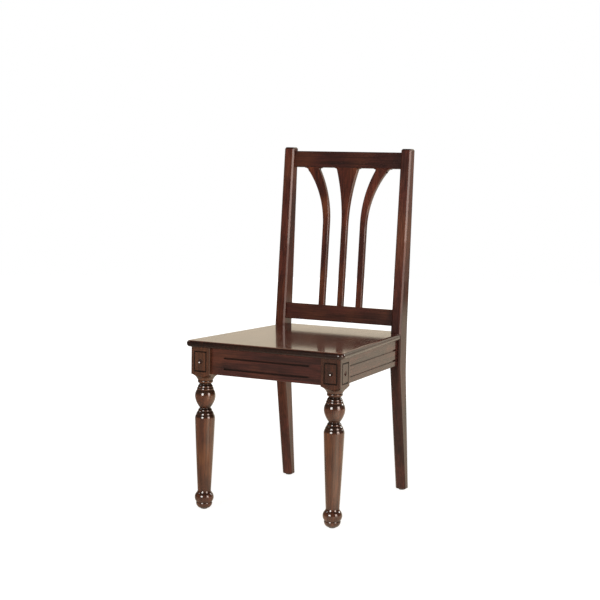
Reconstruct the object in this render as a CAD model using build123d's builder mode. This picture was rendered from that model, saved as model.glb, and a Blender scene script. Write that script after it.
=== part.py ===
"""A wooden dining chair with turned front legs, sabre back legs and a three-splat back.

Millimetres. +Z is up, the sitter faces -Y and +X is on the right of someone looking at the chair's front.
The origin is on the floor, under the middle of the chair.
"""
import os
from math import atan2, cos, pi, sin, tan

from build123d import *

# Seat
seat_height = 450.0
seat_thickness = 17.0
seat_front_overhang = 14.0
seat_side_overhang = 12.25
seat_corner_radius = 14.0
seat_edge_radius = 8.0
seat_rear_easing = 2.0
notch_clearance = 0.5

# Front legs: a square block with a turned shaft under it
leg_spacing = 376.0
block_side = 55.5
block_height = 73.0
block_easing = 2.5
pommel_radius = 36.0
pommel_rise = 5.0
cove_radius = 20.0
cove_drop = 16.0
cove_slope = 0.42
upper_bead_radius = 20.2
upper_bead_drop = 20.0
upper_neck_radius = 15.6
upper_neck_drop = 26.2
collar_radius = 19.8
collar_drop = 35.0
ball_top_radius = 21.9
ball_top_drop = 41.6
ball_radius = 26.9
ball_drop = 56.0
ball_waist_radius = 22.4
ball_waist_drop = 76.0
lower_neck_radius = 14.3
lower_neck_drop = 89.8
lower_bead_radius = 18.4
lower_bead_drop = 98.2
shoulder_radius = 23.0
shoulder_drop = 107.0
shaft_top_radius = 26.2
shaft_top_drop = 118.0
shaft_middle_swell = 0.3
shaft_bottom_radius = 17.5
shaft_bottom_height = 48.5
ring_radius = 24.9
ring_height = 32.8
ring_top_radius = 19.0
ring_top_height = 44.5
ring_bottom_radius = 21.6
ring_bottom_height = 20.5
foot_groove_radius = 20.6
foot_bead_radius = 21.4
foot_bead_height = 16.5
foot_round_radius = 18.8
foot_round_height = 8.0
foot_tip_radius = 13.5
neck_half_width = 1.8
bead_bulge = 0.9

# Grooved panel and dished button on the shown faces of each leg block
panel_width = 34.5
panel_height = 51.0
panel_drop = 38.0
panel_groove_radius = 1.8
button_radius = 6.5
button_sink = 0.8
button_dish = 1.5
button_length = 9.0
peg_clearance = 0.1

# Back posts: back leg and back upright in one sawn piece
overall_height = 955.0
back_width = 390.0
base_depth = 395.0
post_width = 30.0
post_depth_top = 29.5
post_depth_seat = 49.5
foot_depth = 24.0
post_rake = 42.0
foot_kick = 62.0
post_waist_rise = 5.0
knee_height_front = 356.0
knee_height_back = 340.0
front_bend_radius = 60.0
back_bend_radius = 400.0
post_edge_chamfer = 4.0
post_foot_easing = 1.5

# Back rails and splats
back_recess = 10.0
back_rail_thickness = 17.0
back_rail_height = 45.0
back_rail_easing = 2.0
crest_drop = 10.0
lower_rail_rise = 19.0
splat_thickness = 14.0
splat_setback = 1.5
splat_chamfer = 1.5
splat_lip = 1.8
outer_splat_inner = 48.7
outer_splat_width = 17.5
outer_splat_top_inner = 88.7
outer_splat_top_width = 37.5
inner_flare_height = 155.0
outer_flare_height = 165.0
middle_splat_width = 17.0
middle_splat_top_width = 66.0
root_radius_outside = 10.0
root_radius_inside = 3.0
root_radius_middle = 4.0
tenon_thickness = 7.0
tenon_length = 12.0
tenon_shoulder = 2.0
top_tenon_shoulder = 5.0
tenon_clearance = 0.1
mortise_end_gap = 0.5

# Seat frame
apron_height = 71.0
apron_thickness = 18.0
apron_recess = 11.0
side_apron_rear_setback = 8.0
rear_apron_inset = 8.0
apron_easing = 1.5
groove_width = 5.0
groove_depth = 3.0
groove_upper_drop = 25.5
groove_lower_drop = 54.0
front_groove_margin = 37.0
side_groove_margin = 14.0

# Corner blocks
corner_block_height = 32.0
corner_block_reach = 60.0
corner_block_clearance = 2.0
apron_screw_drop = 8.0
side_screw_drop = 22.0
apron_screw_offset = 32.0
seat_screw_offset = 9.0
seat_screw_depth_offset = 17.0

# Dowels, screws and glides
dowel_radius = 4.0
dowel_clearance = 0.1
blind_hole_gap = 1.0
dowel_chamfer = 0.8
frame_dowel_depth = 18.0
rail_dowel_depth = 15.0
rear_dowel_depth = 15.0
frame_dowel_spacing = 36.0
rail_dowel_spacing = 22.0
screw_length = 30.0
screw_radius = 2.0
screw_tip_length = 4.0
screw_head_radius = 4.0
screw_head_height = 2.6
screw_slot_length = 10.0
screw_slot_width = 1.0
screw_slot_depth = 1.1
screw_clearance = 0.2
counterbore_clearance = 0.8
block_grip = 16.0
seat_bite = 11.0
glide_radius = 9.0
glide_height = 3.0
glide_easing = 1.0
glide_nail_radius = 1.2
glide_nail_length = 14.0

# Levels and places that follow from the sizes above
frame_top = seat_height - seat_thickness
block_bottom = frame_top - block_height
apron_bottom = frame_top - apron_height
overall_depth = seat_front_overhang + block_side / 2 + base_depth + foot_kick + foot_depth
seat_front = -overall_depth / 2
leg_axis_y = seat_front + seat_front_overhang + block_side / 2
leg_front = leg_axis_y - block_side / 2
leg_back = leg_axis_y + block_side / 2
leg_x = leg_spacing / 2
seat_front_width = leg_spacing + block_side + 2 * seat_side_overhang
post_front = leg_axis_y + base_depth
post_outer = back_width / 2
post_inner = post_outer - post_width
rear_foot_x = (post_inner + post_outer) / 2
rear_foot_y = post_front + foot_kick + foot_depth / 2
seat_back = post_front + post_depth_seat
post_waist = seat_height + post_waist_rise
dowel_hole_radius = dowel_radius + dowel_clearance
screw_hole_radius = screw_radius + screw_clearance
counterbore_radius = screw_head_radius + counterbore_clearance
sides = (("left", -1), ("right", 1))

# The back leans: its plane lies behind the posts' front faces, with y up the slope and z towards the sitter
rake = atan2(post_rake, overall_height - post_waist)
back_plane = Plane(
    origin=(0, post_front + back_recess * cos(rake), post_waist - back_recess * sin(rake)),
    x_dir=(1, 0, 0),
    z_dir=(0, -cos(rake), sin(rake)),
)
# Faces of the seat frame
front_apron_front = leg_front + apron_recess
front_apron_back = front_apron_front + apron_thickness
rear_apron_back = seat_back - rear_apron_inset
rear_apron_front = rear_apron_back - apron_thickness
side_apron_front_x = leg_x + block_side / 2 - apron_recess
side_apron_rear_x = post_outer - side_apron_rear_setback
side_apron_slope = (side_apron_rear_x - side_apron_front_x) / (post_front - leg_back)


def slope_height(z):
    """Height on the back plane of a level above the floor."""
    return (z - back_plane.origin.Z) / cos(rake)


crest_low = slope_height(overall_height - crest_drop) - back_rail_height
lower_rail_low = slope_height(seat_height + lower_rail_rise)
splat_low = lower_rail_low + back_rail_height


def side_apron_inner_x(y):
    """Inner face of the right side apron, which closes in towards the back."""
    return side_apron_front_x - apron_thickness + side_apron_slope * (y - leg_back)


def pair_of_levels(middle, spacing):
    return (middle - spacing / 2, middle + spacing / 2)


def keep(piece, label):
    piece.part.label = label
    export_step(piece.part, f"parts/{label}.step")


os.makedirs("parts", exist_ok=True)

# Dowel places: each is the joint face's centre for one dowel, with z along the dowel
frame_dowel_levels = pair_of_levels((apron_bottom + frame_top) / 2, frame_dowel_spacing)
front_apron_middle_y = (front_apron_front + front_apron_back) / 2
rear_apron_middle_y = (rear_apron_front + rear_apron_back) / 2
side_dowel_front_x = side_apron_front_x - apron_thickness / 2
side_dowel_rear_x = side_apron_rear_x - apron_thickness / 2
rail_middle_depth = -back_rail_thickness / 2


def front_apron_joint(side):
    x = side * (leg_x - block_side / 2)
    return [Plane((x, front_apron_middle_y, z), z_dir=(side, 0, 0)) for z in frame_dowel_levels]


def side_apron_front_joint(side):
    return [Plane((side * side_dowel_front_x, leg_back, z), z_dir=(0, -1, 0)) for z in frame_dowel_levels]


def side_apron_rear_joint(side):
    return [Plane((side * side_dowel_rear_x, post_front, z), z_dir=(0, 1, 0)) for z in frame_dowel_levels]


def rear_apron_joint(side):
    x = side * post_inner
    return [Plane((x, rear_apron_middle_y, z), z_dir=(side, 0, 0)) for z in frame_dowel_levels]


def back_rail_joint(side, rail_low):
    heights = pair_of_levels(rail_low + back_rail_height / 2, rail_dowel_spacing)
    points = [back_plane.from_local_coords((side * post_inner, h, rail_middle_depth)) for h in heights]
    return [Plane(point, z_dir=(side, 0, 0)) for point in points]


def reversed_planes(planes):
    return [Plane(plane.origin, z_dir=-plane.z_dir) for plane in planes]


def section_plane(plane):
    """Plane for a half section: x across the given plane, y along its z."""
    return Plane(plane.origin, x_dir=plane.x_dir, z_dir=-plane.y_dir)


def drill(planes, depth):
    """Dowel holes that run back from the given joint faces."""
    with Locations(*planes):
        Hole(dowel_hole_radius, depth + blind_hole_gap)


def dowels(label, planes, depth_before, depth_behind):
    """One node of chamfered dowels that cross the given joint faces."""
    length = depth_before + depth_behind
    with BuildPart() as pins:
        for plane in planes:
            with BuildSketch(plane.offset(-depth_behind)):
                Circle(dowel_radius)
            extrude(amount=length)
        chamfer(pins.edges().filter_by(GeomType.CIRCLE), dowel_chamfer)
    keep(pins, label)


# Corner block screws and seat screws: each plane is the seat of a screw head, with z along the shank
def front_block_screws(side):
    x = side * (leg_x - block_side / 2 - apron_screw_offset)
    y = leg_back + apron_screw_offset
    to_front = Plane((x, front_apron_back + block_grip, frame_top - apron_screw_drop), z_dir=(0, -1, 0))
    to_side = Plane(
        (side * (side_apron_inner_x(y) - block_grip), y, frame_top - side_screw_drop), z_dir=(side, 0, 0)
    )
    return [to_front, to_side]


def rear_block_screws(side):
    x = side * (post_inner - apron_screw_offset - seat_screw_depth_offset)
    y = post_front - apron_screw_offset
    to_rear = Plane((x, rear_apron_front - block_grip, frame_top - apron_screw_drop), z_dir=(0, 1, 0))
    to_side = Plane(
        (side * (side_apron_inner_x(y) - block_grip), y, frame_top - side_screw_drop), z_dir=(side, 0, 0)
    )
    return [to_rear, to_side]


def seat_screw(side, place):
    head_level = frame_top + seat_bite - screw_length
    x = side * (leg_x - block_side / 2 - seat_screw_offset)
    y = leg_back + seat_screw_depth_offset
    if place == "rear":
        x = side * (post_inner - seat_screw_depth_offset - seat_screw_offset)
        y = post_front - seat_screw_offset
    return Plane((x, y, head_level), z_dir=(0, 0, 1))


def screw_ways(planes, reach):
    """Clearance holes and head counterbores along the given screws, cut in a corner block."""
    for plane in planes:
        with BuildSketch(plane) as shank:
            Circle(screw_hole_radius)
        extrude(shank.sketch, amount=screw_length, mode=Mode.SUBTRACT)
        with BuildSketch(plane) as head:
            Circle(counterbore_radius)
        extrude(head.sketch, amount=-reach, mode=Mode.SUBTRACT)


def screw_pilots(planes):
    """Blind holes for the points of the given screws."""
    for plane in planes:
        with BuildSketch(plane) as shank:
            Circle(screw_hole_radius)
        extrude(shank.sketch, amount=screw_length + screw_clearance, mode=Mode.SUBTRACT)


def screws(label, planes):
    """One node of slotted wood screws."""
    with BuildPart() as group:
        for plane in planes:
            with BuildSketch(section_plane(plane)):
                with BuildLine():
                    Polyline(
                        (0, -screw_head_height),
                        (screw_head_radius, -screw_head_height),
                        (screw_head_radius, 0),
                        (screw_radius, 0),
                        (screw_radius, screw_length - screw_tip_length),
                        (0, screw_length),
                        close=True,
                    )
                make_face()
            revolve(axis=Axis(plane.origin, plane.z_dir))
            with BuildSketch(plane.offset(-screw_head_height)):
                Rectangle(screw_slot_length, screw_slot_width)
            extrude(amount=screw_slot_depth, mode=Mode.SUBTRACT)
    keep(group, label)


# Front legs
def leg_profile():
    """Half section of the turning, from the foot up to the square block."""
    foot = glide_height
    past_corners = block_side
    lip_radius = neck_half_width / 2
    groove_middle = (foot_bead_height + ring_bottom_height) / 2

    def below_block(radius, drop):
        return (radius, block_bottom - drop)

    def neck(radius, drop):
        """Narrow hollow between two beads."""
        ThreePointArc(
            below_block(radius + lip_radius, drop + neck_half_width),
            below_block(radius, drop),
            below_block(radius + lip_radius, drop - neck_half_width),
        )

    shaft_top = below_block(shaft_top_radius, shaft_top_drop)
    shaft_middle = (
        (shaft_bottom_radius + shaft_top_radius) / 2 + shaft_middle_swell,
        (shaft_bottom_height + shaft_top[1]) / 2,
    )
    with BuildLine() as outline:
        Line((0, foot), (foot_tip_radius, foot))
        ThreePointArc(
            (foot_tip_radius, foot),
            (foot_round_radius, foot_round_height),
            (foot_bead_radius, foot_bead_height),
        )
        Polyline(
            (foot_bead_radius, foot_bead_height),
            (foot_groove_radius, groove_middle),
            (ring_bottom_radius, ring_bottom_height),
        )
        ThreePointArc(
            (ring_bottom_radius, ring_bottom_height),
            (ring_radius, ring_height),
            (ring_top_radius, ring_top_height),
        )
        Line((ring_top_radius, ring_top_height), (shaft_bottom_radius, shaft_bottom_height))
        ThreePointArc((shaft_bottom_radius, shaft_bottom_height), shaft_middle, shaft_top)
        shoulder = SagittaArc(shaft_top, below_block(shoulder_radius, shoulder_drop), -bead_bulge)
        lower_bead = SagittaArc(shoulder @ 1, below_block(lower_bead_radius, lower_bead_drop), -bead_bulge)
        lower_lip = below_block(lower_neck_radius + lip_radius, lower_neck_drop + neck_half_width)
        SagittaArc(lower_bead @ 1, lower_lip, -bead_bulge)
        neck(lower_neck_radius, lower_neck_drop)
        Spline(
            below_block(lower_neck_radius + lip_radius, lower_neck_drop - neck_half_width),
            below_block(ball_waist_radius, ball_waist_drop),
            below_block(ball_radius, ball_drop),
            below_block(ball_top_radius, ball_top_drop),
        )
        ball_top = below_block(ball_top_radius, ball_top_drop)
        ball_step = SagittaArc(ball_top, below_block(collar_radius, collar_drop), -bead_bulge)
        upper_lip = below_block(upper_neck_radius + lip_radius, upper_neck_drop + neck_half_width)
        SagittaArc(ball_step @ 1, upper_lip, -bead_bulge)
        neck(upper_neck_radius, upper_neck_drop)
        bead = ThreePointArc(
            below_block(upper_neck_radius + lip_radius, upper_neck_drop - neck_half_width),
            below_block(upper_bead_radius, upper_bead_drop),
            below_block(upper_bead_radius - lip_radius, cove_drop + lip_radius),
        )
        cove_end = below_block(cove_radius, cove_drop)
        Line(bead @ 1, cove_end)
        TangentArc((pommel_radius, block_bottom), cove_end, tangent=(-1, -cove_slope))
        Polyline(
            (pommel_radius, block_bottom),
            (past_corners, block_bottom + pommel_rise),
            (past_corners, frame_top),
            (0, frame_top),
            (0, foot),
        )
    make_face(outline.edges())


def block_face(side, face):
    """Plane on the front or the outer side of a leg block, at the middle of its grooved panel."""
    z = frame_top - panel_drop
    if face == "front":
        return Plane((side * leg_x, leg_front, z), x_dir=(1, 0, 0), z_dir=(0, -1, 0))
    return Plane((side * (leg_x + block_side / 2), leg_axis_y, z), x_dir=(0, side, 0), z_dir=(side, 0, 0))


for name, side in sides:
    with BuildPart() as front_leg:
        with BuildSketch(Plane.XY.offset(glide_height)):
            with Locations((side * leg_x, leg_axis_y)):
                RectangleRounded(block_side, block_side, block_easing)
        extrude(amount=frame_top - glide_height)
        with BuildSketch(Plane((side * leg_x, leg_axis_y, 0), x_dir=(1, 0, 0), z_dir=(0, -1, 0))):
            leg_profile()
        revolve(axis=Axis((side * leg_x, leg_axis_y, 0), (0, 0, 1)), mode=Mode.INTERSECT)
        for face in ("front", "side"):
            panel = block_face(side, face)
            with BuildLine(panel) as frame:
                Polyline(
                    (-panel_width / 2, -panel_height / 2),
                    (panel_width / 2, -panel_height / 2),
                    (panel_width / 2, panel_height / 2),
                    (-panel_width / 2, panel_height / 2),
                    close=True,
                )
            path = frame.wires()[0]
            first_side = path.edges()[0]
            with BuildSketch(Plane(first_side @ 0.5, z_dir=first_side % 0.5)):
                Circle(panel_groove_radius)
            sweep(path=path, transition=Transition.RIGHT, mode=Mode.SUBTRACT)
            with Locations(panel):
                Hole(button_radius + peg_clearance, button_sink + button_length + blind_hole_gap)
        drill(reversed_planes(front_apron_joint(side)), frame_dowel_depth)
        drill(reversed_planes(side_apron_front_joint(side)), frame_dowel_depth)
        with Locations(Plane((side * leg_x, leg_axis_y, glide_height), z_dir=(0, 0, -1))):
            Hole(glide_nail_radius + peg_clearance, glide_nail_length + blind_hole_gap)
    keep(front_leg, f"front_leg_{name}")


for name, side in sides:
    for face in ("front", "side"):
        panel = block_face(side, face)
        with BuildPart() as button:
            with BuildSketch(section_plane(panel)):
                with BuildLine():
                    bottom = -button_sink - button_length
                    body = Polyline((0, bottom), (button_radius, bottom), (button_radius, -button_sink))
                    dish = TangentArc((0, -button_sink - button_dish), body @ 1, tangent=(1, 0))
                    Line(dish @ 0, body @ 0)
                make_face()
            revolve(axis=Axis(panel.origin, panel.z_dir))
        keep(button, f"{face}_button_{name}")

# Back posts
for name, side in sides:
    with BuildPart() as rear_post:
        with BuildSketch(Plane.YZ.offset(min(side * post_inner, side * post_outer))):
            with BuildLine():
                front = FilletPolyline(
                    (post_front + post_rake, overall_height),
                    (post_front, post_waist),
                    (post_front, knee_height_front),
                    (post_front + foot_kick, glide_height),
                    radius=front_bend_radius,
                )
                back = FilletPolyline(
                    (post_front + foot_kick + foot_depth, glide_height),
                    (seat_back, knee_height_back),
                    (seat_back, post_waist),
                    (post_front + post_rake + post_depth_top, overall_height),
                    radius=back_bend_radius,
                )
                Line(front @ 1, back @ 0)
                Line(back @ 1, front @ 0)
            make_face()
        extrude(amount=post_width)
        sole = rear_post.faces().sort_by(Axis.Z)[0]
        tip = rear_post.faces().sort_by(Axis.Z)[-1]
        arrises = rear_post.edges().filter_by(Axis.X, reverse=True) - sole.edges()
        chamfer(arrises + tip.edges().filter_by(Axis.X), post_edge_chamfer)
        chamfer(rear_post.faces().sort_by(Axis.Z)[0].edges(), post_foot_easing)
        drill(reversed_planes(side_apron_rear_joint(side)), frame_dowel_depth)
        drill(reversed_planes(rear_apron_joint(side)), rear_dowel_depth)
        drill(reversed_planes(back_rail_joint(side, crest_low)), rail_dowel_depth)
        drill(reversed_planes(back_rail_joint(side, lower_rail_low)), rail_dowel_depth)
        with Locations(Plane((side * rear_foot_x, rear_foot_y, glide_height), z_dir=(0, 0, -1))):
            Hole(glide_nail_radius + peg_clearance, glide_nail_length + blind_hole_gap)
    keep(rear_post, f"rear_post_{name}")

# Splats: each edge is its x at the lower rail, its x at the crest, its flare's height and its root's radius
outer_inside = (outer_splat_inner, outer_splat_top_inner, inner_flare_height, root_radius_inside)
outer_outside = (
    outer_splat_inner + outer_splat_width,
    outer_splat_top_inner + outer_splat_top_width,
    outer_flare_height,
    root_radius_outside,
)
middle_edge = (middle_splat_width / 2, middle_splat_top_width / 2, outer_flare_height, root_radius_middle)


def mirrored(edge):
    return (-edge[0], -edge[1], edge[2], edge[3])


splats = {
    "left": (mirrored(outer_outside), mirrored(outer_inside)),
    "middle": (mirrored(middle_edge), middle_edge),
    "right": (outer_inside, outer_outside),
}


def root_reach(edge, outward):
    """How far an edge's root fillet spreads along the crest rail."""
    bottom_x, top_x, flare, radius = edge
    lean = 2 * atan2(outward * (top_x - bottom_x), flare)
    return radius / tan((pi / 2 + lean) / 2) + splat_lip


def tenon_rectangles(left, right, side_gap, end_gap):
    """Stub tenons at both ends of a splat, or with gaps the mortises that take them."""
    bottom = (left[0] + tenon_shoulder - side_gap, right[0] - tenon_shoulder + side_gap)
    top = (left[1] + top_tenon_shoulder - side_gap, right[1] - top_tenon_shoulder + side_gap)
    reach = tenon_length + end_gap
    for (low_x, high_x), middle in ((bottom, splat_low), (top, crest_low)):
        with Locations(((low_x + high_x) / 2, middle)):
            Rectangle(high_x - low_x, 2 * reach)


def cut_mortises():
    depth = splat_setback + (splat_thickness - tenon_thickness) / 2 - tenon_clearance
    for left, right in splats.values():
        with BuildSketch(back_plane.offset(-depth)) as mortises:
            tenon_rectangles(left, right, tenon_clearance, mortise_end_gap)
        extrude(mortises.sketch, amount=-tenon_thickness - 2 * tenon_clearance, mode=Mode.SUBTRACT)


def is_splat_arris(edge):
    """True for the long edges round a splat's faces, between its two ends."""
    start = back_plane.to_local_coords(edge @ 0)
    end = back_plane.to_local_coords(edge @ 1)
    height = (start.Y + end.Y) / 2
    runs_through = abs(start.Z - end.Z) > splat_chamfer
    return not runs_through and splat_low + splat_chamfer < height < crest_low - splat_lip - tenon_clearance


for name, (left, right) in splats.items():
    with BuildPart() as splat:
        with BuildSketch(back_plane.offset(-splat_setback)) as outline:
            with BuildLine():
                left_line = Line((left[0], splat_low), (left[0], crest_low - left[2]))
                left_arc = TangentArc(left_line @ 1, (left[1], crest_low - splat_lip), tangent=(0, 1))
                right_line = Line((right[0], splat_low), (right[0], crest_low - right[2]))
                right_arc = TangentArc(right_line @ 1, (right[1], crest_low - splat_lip), tangent=(0, 1))
                left_lip = left[1] - root_reach(left, -1)
                right_lip = right[1] + root_reach(right, 1)
                Polyline(
                    left_arc @ 1,
                    (left_lip, crest_low - splat_lip),
                    (left_lip, crest_low),
                    (right_lip, crest_low),
                    (right_lip, crest_low - splat_lip),
                    right_arc @ 1,
                )
                Line(left_line @ 0, right_line @ 0)
            make_face()
            for edge in (left, right):
                root = outline.vertices().sort_by_distance((edge[1], crest_low - splat_lip))[0]
                fillet(root, edge[3])
        extrude(amount=-splat_thickness)
        chamfer(splat.edges().filter_by(is_splat_arris), splat_chamfer)
        tenon_depth = splat_setback + (splat_thickness - tenon_thickness) / 2
        with BuildSketch(back_plane.offset(-tenon_depth)):
            tenon_rectangles(left, right, 0, 0)
        extrude(amount=-tenon_thickness)
    keep(splat, f"splat_{name}")

# Back rails
for name, low in (("crest_rail", crest_low), ("lower_back_rail", lower_rail_low)):
    with BuildPart() as back_rail:
        with BuildSketch(back_plane):
            with Locations((0, low + back_rail_height / 2)):
                Rectangle(2 * post_inner, back_rail_height)
        extrude(amount=-back_rail_thickness)
        fillet(back_rail.edges().filter_by(Axis.X), back_rail_easing)
        cut_mortises()
        for _, side in sides:
            drill(back_rail_joint(side, low), rail_dowel_depth)
    keep(back_rail, name)


# Seat frame
def stopped_grooves(face, length):
    """Two grooves that stop short of the ends of an apron's face."""
    for drop in (groove_upper_drop, groove_lower_drop):
        middle = face.from_local_coords((0, -drop, 0))
        with BuildSketch(Plane(middle, x_dir=face.x_dir, z_dir=face.z_dir)) as slot:
            SlotOverall(length, groove_width)
        extrude(slot.sketch, amount=-groove_depth, mode=Mode.SUBTRACT)


with BuildPart() as front_apron:
    with BuildSketch(Plane.XY.offset(apron_bottom)):
        with Locations((0, front_apron_middle_y)):
            Rectangle(2 * leg_x - block_side, apron_thickness)
    extrude(amount=apron_height)
    fillet(front_apron.faces().sort_by(Axis.Z)[0].edges().filter_by(Axis.X), apron_easing)
    face = Plane((0, front_apron_front, frame_top), x_dir=(1, 0, 0), z_dir=(0, -1, 0))
    stopped_grooves(face, 2 * leg_x - block_side - 2 * front_groove_margin)
    for _, side in sides:
        drill(front_apron_joint(side), frame_dowel_depth)
        screw_pilots(front_block_screws(side)[:1])
keep(front_apron, "front_apron")

for name, side in sides:
    with BuildPart() as side_apron:
        front_outer = (side * side_apron_front_x, leg_back)
        rear_outer = (side * side_apron_rear_x, post_front)
        with BuildSketch(Plane.XY.offset(apron_bottom)):
            with BuildLine():
                Polyline(
                    front_outer,
                    rear_outer,
                    (side * side_apron_inner_x(post_front), post_front),
                    (side * side_apron_inner_x(leg_back), leg_back),
                    close=True,
                )
            make_face()
        extrude(amount=apron_height)
        sole = side_apron.faces().sort_by(Axis.Z)[0]
        fillet(sole.edges().filter_by(Axis.X, reverse=True), apron_easing)
        length = (Vector(*rear_outer) - Vector(*front_outer)).length
        middle = (Vector(*rear_outer, 0) + Vector(*front_outer, 0)) * 0.5 + Vector(0, 0, frame_top)
        along = Vector(-side * side_apron_slope, -1, 0) * -side
        face = Plane(middle, x_dir=along, z_dir=along.cross(Vector(0, 0, 1)))
        stopped_grooves(face, length - 2 * side_groove_margin)
        drill(side_apron_front_joint(side), frame_dowel_depth)
        drill(side_apron_rear_joint(side), frame_dowel_depth)
        screw_pilots(front_block_screws(side)[1:])
        screw_pilots(rear_block_screws(side)[1:])
    keep(side_apron, f"side_apron_{name}")

with BuildPart() as rear_apron:
    with BuildSketch(Plane.XY.offset(apron_bottom)):
        with Locations((0, rear_apron_middle_y)):
            Rectangle(2 * post_inner, apron_thickness)
    extrude(amount=apron_height)
    fillet(rear_apron.faces().sort_by(Axis.Z)[0].edges().filter_by(Axis.X), apron_easing)
    for _, side in sides:
        drill(rear_apron_joint(side), rear_dowel_depth)
        screw_pilots(rear_block_screws(side)[:1])
keep(rear_apron, "rear_apron")


# Corner blocks
def front_block_corners(side):
    leg_inner = leg_x - block_side / 2
    gap_y = leg_back + corner_block_clearance
    far_y = leg_back + corner_block_reach
    corners = (
        (side_apron_inner_x(gap_y), gap_y),
        (side_apron_inner_x(far_y), far_y),
        (leg_inner - corner_block_reach, front_apron_back),
        (leg_inner - corner_block_clearance, front_apron_back),
        (leg_inner - corner_block_clearance, gap_y),
    )
    return [(side * x, y) for x, y in corners]


def rear_block_corners(side):
    end_x = min(side_apron_inner_x(post_front), post_inner - corner_block_clearance)
    gap_y = post_front - corner_block_clearance
    near_y = post_front - corner_block_reach
    corners = (
        (end_x, rear_apron_front),
        (end_x, gap_y),
        (side_apron_inner_x(gap_y), gap_y),
        (side_apron_inner_x(near_y), near_y),
        (end_x - corner_block_reach - rear_apron_front + post_front, rear_apron_front),
    )
    return [(side * x, y) for x, y in corners]


block_corners = {"front": front_block_corners, "rear": rear_block_corners}
block_screws = {"front": front_block_screws, "rear": rear_block_screws}
for place in block_corners:
    for name, side in sides:
        with BuildPart() as corner_block:
            with BuildSketch(Plane.XY.offset(frame_top - corner_block_height)):
                with BuildLine():
                    Polyline(*block_corners[place](side), close=True)
                make_face()
            extrude(amount=corner_block_height)
            screw_ways(block_screws[place](side) + [seat_screw(side, place)], corner_block_reach)
        keep(corner_block, f"corner_block_{place}_{name}")

# Seat board
with BuildPart() as seat_board:
    with BuildSketch(Plane.XY.offset(frame_top)) as plan:
        notch_x = post_inner - notch_clearance
        notch_y = post_front - notch_clearance
        half_plan = [
            (seat_front_width / 2, seat_front),
            (post_outer, notch_y),
            (notch_x, notch_y),
            (notch_x, seat_back),
        ]
        with BuildLine():
            Polyline(*half_plan, *[(-x, y) for x, y in reversed(half_plan)], close=True)
        make_face()
        fillet(plan.vertices().group_by(Axis.Y)[0], seat_corner_radius)
    extrude(amount=seat_thickness)
    rims = seat_board.edges().filter_by(Axis.Z, reverse=True)
    fillet(rims.filter_by(lambda rim: rim.center().Y < notch_y - seat_corner_radius), seat_edge_radius)
    rear_rims = seat_board.edges().filter_by(Axis.X).group_by(Axis.Y)[-1]
    fillet(rear_rims, seat_rear_easing)
    screw_pilots([seat_screw(side, place) for _, side in sides for place in block_corners])
keep(seat_board, "seat_board")

# Dowels in every joint of the frame
for name, side in sides:
    ends = side_apron_front_joint(side) + side_apron_rear_joint(side)
    dowels(f"side_apron_dowels_{name}", ends, frame_dowel_depth, frame_dowel_depth)


def both_ends(joint, *rail):
    return joint(-1, *rail) + joint(1, *rail)


dowels("front_apron_dowels", both_ends(front_apron_joint), frame_dowel_depth, frame_dowel_depth)
dowels("rear_apron_dowels", both_ends(rear_apron_joint), rear_dowel_depth, rear_dowel_depth)
dowels("crest_dowels", both_ends(back_rail_joint, crest_low), rail_dowel_depth, rail_dowel_depth)
dowels("lower_rail_dowels", both_ends(back_rail_joint, lower_rail_low), rail_dowel_depth, rail_dowel_depth)

# Screws
frame_screws = [plane for place in block_screws for _, side in sides for plane in block_screws[place](side)]
screws("corner_block_screws", frame_screws)
screws("seat_screws", [seat_screw(side, place) for _, side in sides for place in block_corners])

# Glides under the feet
feet = {"front": (leg_x, leg_axis_y), "rear": (rear_foot_x, rear_foot_y)}
for place, (x, y) in feet.items():
    for name, side in sides:
        with BuildPart() as glide:
            with BuildSketch():
                with Locations((side * x, y)):
                    Circle(glide_radius)
            extrude(amount=glide_height)
            fillet(glide.edges().sort_by(Axis.Z)[0], glide_easing)
            with BuildSketch(Plane.XY.offset(glide_height)):
                with Locations((side * x, y)):
                    Circle(glide_nail_radius)
            extrude(amount=glide_nail_length)
        keep(glide, f"glide_{place}_{name}")
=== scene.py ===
import math

import bmesh
import bpy
from mathutils import Matrix, Vector


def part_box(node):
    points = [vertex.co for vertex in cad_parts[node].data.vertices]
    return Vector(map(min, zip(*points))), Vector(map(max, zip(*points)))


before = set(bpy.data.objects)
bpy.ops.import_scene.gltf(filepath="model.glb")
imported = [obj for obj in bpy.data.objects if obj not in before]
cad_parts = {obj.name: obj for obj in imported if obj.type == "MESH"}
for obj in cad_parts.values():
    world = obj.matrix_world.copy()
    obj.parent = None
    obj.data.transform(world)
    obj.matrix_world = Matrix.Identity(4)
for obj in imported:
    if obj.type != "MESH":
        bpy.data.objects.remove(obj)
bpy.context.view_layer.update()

# The splats: three slats sawn to a flare and stub-tenoned into the rails at both ends.
# They are a fine-grained hardwood under red-brown stain and sprayed gloss lacquer, with upright grain.


def put(tree, kind, wired=None, **settings):
    """One shader node. A wired input is a link where a socket is given, and else a plain value."""
    node = tree.nodes.new(kind)
    for name, value in settings.items():
        setattr(node, name, value)
    for name, value in (wired or {}).items():
        if isinstance(value, bpy.types.NodeSocket):
            tree.links.new(value, node.inputs[name])
        else:
            node.inputs[name].default_value = value
    return node


def reckon(tree, how, *values):
    """The result of one sum on single values."""
    return put(tree, "ShaderNodeMath", dict(enumerate(values)), operation=how).outputs[0]


def gauge(tree, how, *vectors):
    """A length or a dot product taken from vectors."""
    return put(tree, "ShaderNodeVectorMath", dict(enumerate(vectors)), operation=how).outputs["Value"]


def spread(tree, value, found, wanted=(0.0, 1.0)):
    """A value eased from the range in which it is found to the range that is wanted."""
    wired = {
        "Value": value,
        "From Min": found[0],
        "From Max": found[1],
        "To Min": wanted[0],
        "To Max": wanted[1],
    }
    return put(tree, "ShaderNodeMapRange", wired, interpolation_type="SMOOTHSTEP").outputs["Result"]


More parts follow.
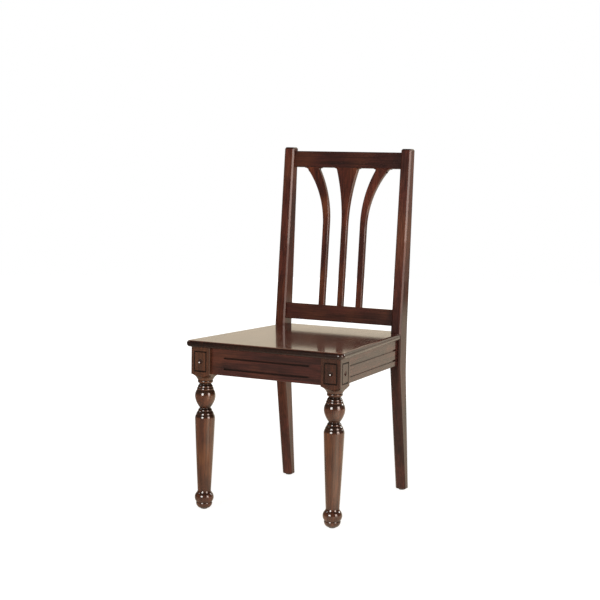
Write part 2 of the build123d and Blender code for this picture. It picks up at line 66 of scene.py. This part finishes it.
def blend(tree, amount, under, over, how="MIX"):
    """Two colours mixed by an amount."""
    wired = {0: amount, 6: under, 7: over}
    return put(tree, "ShaderNodeMix", wired, data_type="RGBA", blend_type=how, clamp_factor=True).outputs[2]


def mottle(tree, place, scale, detail):
    """Noise that is alike in all directions, in cycles to the metre."""
    return put(tree, "ShaderNodeTexNoise", {"Vector": place, "Scale": scale, "Detail": detail}).outputs[0]


def grain_noise(tree, place, grain, along, across, detail, twist):
    """Noise drawn out along the grain, in cycles to the metre along it and across it."""
    wired = {1: grain, 4: (across, across, across), 5: (along, along, along)}
    cycles = put(tree, "ShaderNodeMix", wired, data_type="VECTOR", factor_mode="NON_UNIFORM").outputs[1]
    drawn = put(tree, "ShaderNodeVectorMath", {0: place, 1: cycles}, operation="MULTIPLY").outputs[0]
    wired = {"Vector": drawn, "Scale": 1.0, "Detail": detail, "Roughness": 0.58, "Distortion": twist}
    return put(tree, "ShaderNodeTexNoise", wired).outputs[0]


def finish_group(name, takes, gives):
    """An empty shader group with its named sockets, and its two ends."""
    group = bpy.data.node_groups.new(name, "ShaderNodeTree")
    for label, kind, value in takes:
        group.interface.new_socket(label, in_out="INPUT", socket_type=kind).default_value = value
    for label, kind in gives:
        group.interface.new_socket(label, in_out="OUTPUT", socket_type=kind)
    return group, group.nodes.new("NodeGroupInput").outputs, group.nodes.new("NodeGroupOutput").inputs


# Stained grain: broad figure, fine streaks, short dark pores and warm patches. End grain comes out darker.
stained_grain, takes, gives = finish_group(
    "stained_grain",
    (
        ("Place", "NodeSocketVector", (0, 0, 0)),
        ("Grain", "NodeSocketVector", (0, 0, 1)),
        ("Deep Stain", "NodeSocketColor", (0.03, 0.01, 0.008, 1)),
        ("Red Stain", "NodeSocketColor", (0.09, 0.025, 0.016, 1)),
        ("Warm Stain", "NodeSocketColor", (0.13, 0.045, 0.02, 1)),
        ("Pores", "NodeSocketFloat", 0.6),
    ),
    (("Colour", "NodeSocketColor"), ("Roughness", "NodeSocketFloat"), ("Height", "NodeSocketFloat")),
)
tree = stained_grain
place, grain = takes["Place"], takes["Grain"]
figure = grain_noise(tree, place, grain, along=5.0, across=42.0, detail=4.0, twist=0.7)
streak = grain_noise(tree, place, grain, along=9.0, across=270.0, detail=3.0, twist=0.2)
pore = grain_noise(tree, place, grain, along=70.0, across=1500.0, detail=1.0, twist=0.0)
patch = mottle(tree, place, scale=9.0, detail=2.0)
facing = put(tree, "ShaderNodeNewGeometry").outputs["Normal"]
end_on = reckon(tree, "ABSOLUTE", gauge(tree, "DOT_PRODUCT", facing, grain))
red_share = spread(tree, figure, (0.34, 0.66))
warm_share = spread(tree, patch, (0.46, 0.72), (0.0, 0.8))
streak_shade = spread(tree, streak, (0.32, 0.66), (0.68, 1.16))
end_shade = spread(tree, end_on, (0.35, 0.9), (1.0, 0.42))
pore_share = reckon(tree, "MULTIPLY", spread(tree, pore, (0.58, 0.72)), takes["Pores"])
pore_brown = (0.012, 0.006, 0.005, 1)
tone = blend(tree, red_share, takes["Deep Stain"], takes["Red Stain"])
tone = blend(tree, warm_share, tone, takes["Warm Stain"])
tone = blend(tree, 1.0, tone, streak_shade, "MULTIPLY")
tone = blend(tree, 1.0, tone, end_shade, "MULTIPLY")
tree.links.new(blend(tree, pore_share, tone, pore_brown), gives["Colour"])
tree.links.new(spread(tree, streak, (0.3, 0.7), (0.46, 0.34)), gives["Roughness"])
tree.links.new(reckon(tree, "MULTIPLY_ADD", pore_share, -1.0, streak), gives["Height"])

# Worn and highlit arrises: edges that hands and cloths have worn a little, unevenly along their length, and
# lightened as a painted highlight too.
worn_and_highlit_arris, takes, gives = finish_group(
    "worn_and_highlit_arris",
    (("Place", "NodeSocketVector", (0, 0, 0)), ("Width", "NodeSocketFloat", 0.002)),
    (("Mask", "NodeSocketFloat"),),
)
tree = worn_and_highlit_arris
rounded = put(tree, "ShaderNodeBevel", {"Radius": takes["Width"]}, samples=6).outputs[0]
facing = put(tree, "ShaderNodeNewGeometry").outputs["Normal"]
on_arris = spread(tree, gauge(tree, "DOT_PRODUCT", rounded, facing), (0.99, 0.86))
worn = spread(tree, mottle(tree, takes["Place"], scale=45.0, detail=3.0), (0.35, 0.65), (0.15, 1.0))
tree.links.new(reckon(tree, "MULTIPLY", on_arris, worn), gives["Mask"])

# Glaze and hollow shade: dark glaze stays behind in grooves and hollows when the faces are wiped, and the
# same darkening in the hollows is painted shade.
glaze_and_hollow_shade, takes, gives = finish_group(
    "glaze_and_hollow_shade",
    (("Reach", "NodeSocketFloat", 0.005), ("Full Below", "NodeSocketFloat", 0.62)),
    (("Mask", "NodeSocketFloat"),),
)
tree = glaze_and_hollow_shade
hollow = put(tree, "ShaderNodeAmbientOcclusion", {"Distance": takes["Reach"]}, samples=8, only_local=True)
tree.links.new(spread(tree, hollow.outputs["AO"], (0.96, takes["Full Below"])), gives["Mask"])


def lacquered(
    name, grain, deep, red, warm, pores=0.5, rub_width=0.002, haze=0.035, gloss=1.5,
    reach=0.007, sheltered=0.62, glaze_and_shade=0.9, painted_shade_band=None, shaded=0.0,
):
    """Stained wood under clear gloss lacquer, lighter on the arrises from rubbed-through wear and a painted
    highlight, with dark glaze and painted shade left in the hollows.

    The colour can be painted darker between two heights, as shade.
    Shaded is painted shade on upward-facing faces, which fades out towards the feet.
    """
    edge_lightening, glaze_and_shade_dulls = 0.45, 0.8
    glaze_and_shade_brown = (0.007, 0.004, 0.003, 1)
    top_shade_slopes, top_shade_heights, top_shade_on_feet = (0.03, 0.3), (0.08, 0.2), 0.2
    material = bpy.data.materials.new(name)
    material.use_nodes = True
    tree = material.node_tree
    shader = tree.nodes["Principled BSDF"]
    place = put(tree, "ShaderNodeTexCoord").outputs["Object"]
    height = put(tree, "ShaderNodeSeparateXYZ", {"Vector": place}).outputs["Z"]
    stains = {"Deep Stain": deep, "Red Stain": red, "Warm Stain": warm, "Pores": pores}
    wood = put(tree, "ShaderNodeGroup", {"Place": place, "Grain": grain, **stains}, node_tree=stained_grain)
    arris = put(tree, "ShaderNodeGroup", {"Place": place, "Width": rub_width}, node_tree=worn_and_highlit_arris)
    # Lighter along the arrises: worn stain, and a painted highlight on the edges.
    worn_and_highlit_edge = spread(tree, arris.outputs["Mask"], (0.0, 1.0), (0.0, edge_lightening))
    colour = blend(tree, worn_and_highlit_edge, wood.outputs["Colour"], warm)
    # Painted shade: the colour is darkened between two heights.
    if painted_shade_band:
        start, full, tone = painted_shade_band
        colour = blend(tree, spread(tree, height, (start, full)), colour, tone, "MULTIPLY")
    # Painted shade: faces that look upward are darkened, less so towards the feet.
    if shaded:
        facing = put(tree, "ShaderNodeNewGeometry").outputs["Normal"]
        upward = put(tree, "ShaderNodeSeparateXYZ", {"Vector": facing}).outputs["Z"]
        top_shade_by_height = spread(tree, height, top_shade_heights, (top_shade_on_feet, shaded))
        painted_top_shade = reckon(tree, "MULTIPLY", spread(tree, upward, top_shade_slopes), top_shade_by_height)
        colour = blend(tree, painted_top_shade, colour, glaze_and_shade_brown)
    shader.inputs["Coat Weight"].default_value = 1.0
    # Dark glaze and painted shade in the hollows, which also dull the coat there.
    if glaze_and_shade:
        glaze_and_shade_mask = put(
            tree, "ShaderNodeGroup", {"Reach": reach, "Full Below": sheltered}, node_tree=glaze_and_hollow_shade
        ).outputs["Mask"]
        colour = blend(tree, spread(tree, glaze_and_shade_mask, (0.0, 1.0), (0.0, glaze_and_shade)), colour, glaze_and_shade_brown)
        coat = spread(tree, glaze_and_shade_mask, (0.0, 1.0), (1.0, 1.0 - glaze_and_shade_dulls * glaze_and_shade))
        tree.links.new(coat, shader.inputs["Coat Weight"])
    tree.links.new(colour, shader.inputs["Base Color"])
    tree.links.new(wood.outputs["Roughness"], shader.inputs["Roughness"])
    relief = {"Strength": 0.15, "Distance": 0.0004, "Height": wood.outputs["Height"]}
    tree.links.new(put(tree, "ShaderNodeBump", relief).outputs[0], shader.inputs["Normal"])
    shader.inputs["Specular IOR Level"].default_value = 0.06
    shader.inputs["Coat Roughness"].default_value = haze
    shader.inputs["Coat IOR"].default_value = gloss
    return material


def dress(material, *names):
    """Gives the named solids one finish."""
    for name in names:
        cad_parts[name].data.materials[0] = material


grain_up = (0, 0, 1)
splat_lacquer = lacquered(
    "splat_lacquer",
    grain_up,
    deep=(0.038, 0.010, 0.007, 1),
    red=(0.096, 0.023, 0.012, 1),
    warm=(0.124, 0.038, 0.015, 1),
    gloss=1.36,
)
dress(splat_lacquer, "splat_left", "splat_middle", "splat_right")

# The crest rail and the lower back rail: straight boards mortised for the splats and dowelled to the posts.
# They are the same wood with the grain across the chair. The crest rail is painted darker, as shade.
grain_across = (1, 0, 0)
lower_rail_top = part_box("lower_back_rail")[1][2]
crest_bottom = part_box("crest_rail")[0][2]
crest_shade = (0.68, 0.67, 0.69, 1)
back_rail_lacquer = lacquered(
    "back_rail_lacquer",
    grain_across,
    deep=(0.030, 0.010, 0.008, 1),
    red=(0.074, 0.019, 0.014, 1),
    warm=(0.092, 0.029, 0.015, 1),
    painted_shade_band=(lower_rail_top, crest_bottom, crest_shade),
)
dress(back_rail_lacquer, "crest_rail", "lower_back_rail")

# The back posts: back leg and upright sawn from one plank, with all long edges chamfered.
# The grain runs straight up through the bend. Below the seat their colour is painted darker as shade, the
# right post more than the left.
seat_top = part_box("seat_board")[1][2]
post_shade_start, post_shade_full = seat_top + 0.17, seat_top - 0.03
post_painted_shades = {"left": (0.85, 0.72, 0.66, 1), "right": (0.58, 0.55, 0.58, 1)}
for side, tone in post_painted_shades.items():
    post_lacquer_shaded = lacquered(
        f"post_lacquer_shaded_{side}",
        grain_up,
        deep=(0.040, 0.012, 0.009, 1),
        red=(0.092, 0.024, 0.015, 1),
        warm=(0.106, 0.035, 0.017, 1),
        gloss=1.38,
        painted_shade_band=(post_shade_start, post_shade_full, tone),
    )
    dress(post_lacquer_shaded, f"rear_post_{side}")

# The front legs: square billets turned below the seat frame to beads, a tapered shaft and a ball foot.
# The block keeps its square faces, with grooved panels, and is painted darker as shade under the seat. The
# legs are stained and lacquered after turning, with painted shade on the upper side of the beads.
apron_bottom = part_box("front_apron")[0][2]
block_shade_start, block_shade_full = apron_bottom - 0.022, apron_bottom + 0.008
block_shade = (0.58, 0.56, 0.64, 1)
turned_leg_lacquer = lacquered(
    "turned_leg_lacquer",
    grain_up,
    deep=(0.058, 0.019, 0.010, 1),
    red=(0.100, 0.031, 0.014, 1),
    warm=(0.130, 0.048, 0.018, 1),
    haze=0.06,
    gloss=1.7,
    reach=0.03,
    sheltered=0.78,
    painted_shade_band=(block_shade_start, block_shade_full, block_shade),
    shaded=0.75,
)
dress(turned_leg_lacquer, "front_leg_left", "front_leg_right")

# The buttons: small turned plugs with a dished face, let into a bored hole in the middle of each panel.
# They are the same wood and took the stain on end grain, so they are a shade darker.
grain_back = (0, 1, 0)
button_lacquer = lacquered(
    "button_lacquer",
    grain_back,
    deep=(0.024, 0.008, 0.007, 1),
    red=(0.058, 0.016, 0.012, 1),
    warm=(0.080, 0.026, 0.015, 1),
    pores=0.7,
    rub_width=0.001,
    gloss=1.7,
)
dress(button_lacquer, "front_button_left", "front_button_right", "side_button_left", "side_button_right")

# The aprons: four boards on edge under the seat, dowelled into the legs and posts.
# The front and side ones have two stopped grooves. The side boards' grain runs from front to back, and
# their grooves get no glaze or painted shade.
apron_stains = {
    "deep": (0.026, 0.009, 0.008, 1),
    "red": (0.064, 0.017, 0.013, 1),
    "warm": (0.085, 0.026, 0.014, 1),
}
apron_lacquer = lacquered("apron_lacquer", grain_across, **apron_stains)
side_apron_lacquer = lacquered("side_apron_lacquer", grain_back, **apron_stains, glaze_and_shade=0.0)
dress(apron_lacquer, "front_apron", "rear_apron")
dress(side_apron_lacquer, "side_apron_left", "side_apron_right")


# The corner blocks and dowels: bare planed hardwood, never stained because nobody sees it.
# The blocks are sawn and screwed into the corners of the frame, and the dowels are glued in every joint.
def bare(name, grain):
    """Planed wood with no finish on it."""
    stains = {
        "Deep Stain": (0.42, 0.27, 0.15, 1),
        "Red Stain": (0.58, 0.41, 0.25, 1),
        "Warm Stain": (0.62, 0.46, 0.29, 1),
        "Pores": 0.12,
    }
    material = bpy.data.materials.new(name)
    material.use_nodes = True
    tree = material.node_tree
    shader = tree.nodes["Principled BSDF"]
    place = put(tree, "ShaderNodeTexCoord").outputs["Object"]
    wood = put(tree, "ShaderNodeGroup", {"Place": place, "Grain": grain, **stains}, node_tree=stained_grain)
    tree.links.new(wood.outputs["Colour"], shader.inputs["Base Color"])
    dull = spread(tree, wood.outputs["Roughness"], (0.34, 0.46), (0.6, 0.75))
    tree.links.new(dull, shader.inputs["Roughness"])
    relief = {"Strength": 0.4, "Distance": 0.0006, "Height": wood.outputs["Height"]}
    tree.links.new(put(tree, "ShaderNodeBump", relief).outputs[0], shader.inputs["Normal"])
    return material


bare_across = bare("bare_wood_across", grain_across)
bare_back = bare("bare_wood_back", grain_back)
for corner in ("front_left", "front_right", "rear_left", "rear_right"):
    dress(bare_across, f"corner_block_{corner}")
dress(bare_across, "front_apron_dowels", "rear_apron_dowels", "crest_dowels", "lower_rail_dowels")
dress(bare_back, "side_apron_dowels_left", "side_apron_dowels_right")

# The screws: slotted wood screws of zinc-plated steel, sunk in counterbores.
# Eight pull the corner blocks tight into the frame, and four come up through the blocks to hold the seat.
bright_zinc, yellowed_zinc = (0.62, 0.60, 0.54, 1), (0.50, 0.46, 0.36, 1)
screw_zinc = bpy.data.materials.new("screw_zinc")
screw_zinc.use_nodes = True
tree = screw_zinc.node_tree
shader = tree.nodes["Principled BSDF"]
bloom = mottle(tree, put(tree, "ShaderNodeTexCoord").outputs["Object"], scale=700.0, detail=4.0)
plating = blend(tree, spread(tree, bloom, (0.35, 0.7)), bright_zinc, yellowed_zinc)
tree.links.new(plating, shader.inputs["Base Color"])
tree.links.new(spread(tree, bloom, (0.3, 0.7), (0.28, 0.5)), shader.inputs["Roughness"])
relief = {"Strength": 0.1, "Distance": 0.0002, "Height": bloom}
tree.links.new(put(tree, "ShaderNodeBump", relief).outputs[0], shader.inputs["Normal"])
shader.inputs["Metallic"].default_value = 1.0
dress(screw_zinc, "corner_block_screws", "seat_screws")

# The seat: one straight-grained board, notched round the posts and rounded along its rim.
# It is screwed down from under the corner blocks and polished to a high gloss. Its rim is painted darker, as
# shade.
rim_shade_start, rim_shade_full = seat_top - 0.0003, seat_top - 0.0025
rim_shade = (0.24, 0.24, 0.27, 1)
seat_lacquer = lacquered(
    "seat_lacquer",
    grain_back,
    deep=(0.082, 0.026, 0.020, 1),
    red=(0.160, 0.048, 0.032, 1),
    warm=(0.195, 0.068, 0.036, 1),
    pores=0.4,
    haze=0.1,
    painted_shade_band=(rim_shade_start, rim_shade_full, rim_shade),
)
dress(seat_lacquer, "seat_board")

# The glides: dark moulded plastic discs, each with a nail driven up into the foot.
# They let the chair slide and keep the end grain off a wet floor.
fresh_plastic, scuffed_plastic = (0.018, 0.014, 0.012, 1), (0.045, 0.038, 0.033, 1)
glide_plastic = bpy.data.materials.new("glide_plastic")
glide_plastic.use_nodes = True
tree = glide_plastic.node_tree
shader = tree.nodes["Principled BSDF"]
scuff = mottle(tree, put(tree, "ShaderNodeTexCoord").outputs["Object"], scale=420.0, detail=5.0)
plastic = blend(tree, spread(tree, scuff, (0.4, 0.7)), fresh_plastic, scuffed_plastic)
tree.links.new(plastic, shader.inputs["Base Color"])
tree.links.new(spread(tree, scuff, (0.3, 0.7), (0.42, 0.7)), shader.inputs["Roughness"])
relief = {"Strength": 0.25, "Distance": 0.0003, "Height": scuff}
tree.links.new(put(tree, "ShaderNodeBump", relief).outputs[0], shader.inputs["Normal"])
dress(glide_plastic, "glide_front_left", "glide_front_right", "glide_rear_left", "glide_rear_right")

# The studio floor: a plain white round sheet that keeps the chair's shadow. The camera sees it white.
# Polished faces see a painted reflection on it, a glow that is pale on the lamps' side and dim in front of
# the chair, with a painted lane of light that runs out to the right-hand lamp. Light bouncing off it is
# painted too.
floor_radius, floor_drop = 7.0, 0.0005
floor_mesh = bpy.data.meshes.new("studio_floor")
sheet = bmesh.new()
bmesh.ops.create_circle(sheet, cap_ends=True, radius=floor_radius, segments=128)
sheet.to_mesh(floor_mesh)
sheet.free()
studio_floor = bpy.data.objects.new("studio_floor", floor_mesh)
studio_floor.location.z = -floor_drop
bpy.context.scene.collection.objects.link(studio_floor)
floor_white = bpy.data.materials.new("floor_white")
floor_white.use_nodes = True
tree = floor_white.node_tree
tree.nodes.remove(tree.nodes["Principled BSDF"])
ray = put(tree, "ShaderNodeLightPath").outputs
spot = put(tree, "ShaderNodeTexCoord").outputs["Object"]
from_chair = gauge(tree, "LENGTH", spot)
matt = put(tree, "ShaderNodeBsdfDiffuse", {"Color": (0.85, 0.85, 0.85, 1)}).outputs[0]

shadow_reach = (0.9, 2.0)
white_share = (0.72, 1.0)
glow = put(tree, "ShaderNodeEmission", {"Color": (1, 1, 1, 1), "Strength": 1.28}).outputs[0]
past_shadow = spread(tree, from_chair, shadow_reach, white_share)
seen = put(tree, "ShaderNodeMixShader", {0: past_shadow, 1: matt, 2: glow}).outputs[0]

# Painted reflection: the glow that polished faces see, paler towards the lamps and dim in front.
lit_way = Vector((0.85, 0.53, 0.0))
dim_to_lit, dim_share = (-0.8, 0.5), (0.25, 1.0)
room_edge, edge_share = (4.2, 6.0), (1.0, 0.12)
lit_side = spread(tree, gauge(tree, "DOT_PRODUCT", spot, lit_way), dim_to_lit, dim_share)
painted_floor_light = reckon(tree, "MULTIPLY", lit_side, spread(tree, from_chair, room_edge, edge_share))

lane_way, lane_across = Vector((0.934, -0.358, 0.0)), Vector((0.358, 0.934, 0.0))
lane_offset, lane_strength = 0.2, 0.6
lane_begins, lane_half_width = (0.3, 0.6), (0.1, 0.4)
along_lane = spread(tree, gauge(tree, "DOT_PRODUCT", spot, lane_way), lane_begins)
beside_lane = reckon(tree, "ADD", gauge(tree, "DOT_PRODUCT", spot, lane_across), lane_offset)
in_lane = spread(tree, reckon(tree, "ABSOLUTE", beside_lane), lane_half_width, (lane_strength, 0.0))
painted_floor_light = reckon(tree, "ADD", painted_floor_light, reckon(tree, "MULTIPLY", along_lane, in_lane))
painted_reflection_glow = put(tree, "ShaderNodeEmission", {"Color": (0.9, 0.79, 0.61, 1), "Strength": painted_floor_light}).outputs[0]

# Painted light: rays that bounce off the floor pick up a glow on top of the lamps' light.
painted_bounce_glow = put(tree, "ShaderNodeEmission", {"Color": (1.0, 0.93, 0.82, 1), "Strength": 0.8}).outputs[0]
bright = put(tree, "ShaderNodeAddShader", {0: matt, 1: painted_bounce_glow}).outputs[0]
polished = reckon(tree, "MAXIMUM", ray["Is Glossy Ray"], ray["Is Transmission Ray"])
unseen = put(tree, "ShaderNodeMixShader", {0: polished, 1: bright, 2: painted_reflection_glow}).outputs[0]
shown = put(tree, "ShaderNodeMixShader", {0: ray["Is Camera Ray"], 1: unseen, 2: seen}).outputs[0]
tree.links.new(shown, tree.nodes["Material Output"].inputs["Surface"])
floor_mesh.materials.append(floor_white)

# The studio round the chair: a pale backdrop behind on the left, and a dim warm room elsewhere.
# The camera sees plain white, and polished faces see the backdrop.
white, pale_backdrop = (1, 1, 1, 1), (0.86, 0.75, 0.58, 1)
dim_room, soft_fill = (0.12, 0.09, 0.07, 1), (0.12, 0.11, 0.10, 1)
backdrop_way = Vector((-0.32, 0.93, 0.2)).normalized()
backdrop_edge = (0.6, 0.95)
studio = bpy.data.worlds.new("studio")
bpy.context.scene.world = studio
studio.use_nodes = True
tree = studio.node_tree
ray = put(tree, "ShaderNodeLightPath").outputs
toward = gauge(tree, "DOT_PRODUCT", put(tree, "ShaderNodeTexCoord").outputs["Generated"], backdrop_way)
sweep = blend(tree, spread(tree, toward, backdrop_edge), dim_room, pale_backdrop)
fill = blend(tree, ray["Is Diffuse Ray"], sweep, soft_fill)
tree.links.new(blend(tree, ray["Is Camera Ray"], fill, white), tree.nodes["Background"].inputs["Color"])


# The softboxes: a low one in front, one at the right before a tall warm reflector board, a small one behind
# on the right, and a high one on the left. They hang upright and face the chair.
def softbox(name, azimuth, distance, height, width, tall, watts, tint=(1.0, 0.97, 0.93)):
    """An upright studio lamp that faces the chair's middle line."""
    lamp = bpy.data.lights.new(name, "AREA")
    lamp.shape = "RECTANGLE"
    lamp.size = width
    lamp.size_y = tall
    lamp.energy = watts
    lamp.color = tint
    holder = bpy.data.objects.new(name, lamp)
    turn = math.radians(azimuth)
    holder.location = (math.sin(turn) * distance, -math.cos(turn) * distance, height)
    holder.rotation_euler = (math.pi / 2, 0, turn)
    bpy.context.scene.collection.objects.link(holder)


right_azimuth = 69.5
warm_white, warm_board = (1.0, 0.88, 0.8), (1.0, 0.78, 0.68)
softbox("softbox_front", -5.0, distance=2.6, height=0.95, width=0.95, tall=1.0, watts=38.0)
softbox(
    "softbox_right", right_azimuth, distance=2.58, height=1.2, width=0.8, tall=0.75, watts=8.0,
    tint=warm_white,
)
softbox(
    "reflector_right", right_azimuth, distance=2.6, height=0.98, width=1.2, tall=1.7, watts=29.0,
    tint=warm_board,
)
softbox("softbox_back", 146.0, distance=2.8, height=1.6, width=0.6, tall=0.8, watts=22.0)
softbox("softbox_left", -80.0, distance=2.4, height=2.4, width=0.8, tall=0.8, watts=12.0)

# The camera: a long lens at the height of the crest rail, turned to the chair's front right.
# Its place and angles come from fitting the chair's outline to the picture.
camera_place = Vector((1.65627, -3.30619, 0.92924))
camera_azimuth, camera_drop, camera_roll = math.radians(26.971), math.radians(5.913), math.radians(1.019)
camera_data = bpy.data.cameras.new("camera")
camera_data.sensor_width = 36.0
camera_data.lens = 83.127
camera = bpy.data.objects.new("camera", camera_data)
camera.matrix_world = (
    Matrix.Translation(camera_place)
    @ Matrix.Rotation(camera_azimuth, 4, "Z")
    @ Matrix.Rotation(math.pi / 2 - camera_drop, 4, "X")
    @ Matrix.Rotation(camera_roll, 4, "Z")
)
bpy.context.scene.collection.objects.link(camera)
bpy.context.scene.camera = camera
bpy.context.scene.view_settings.view_transform = "Standard"
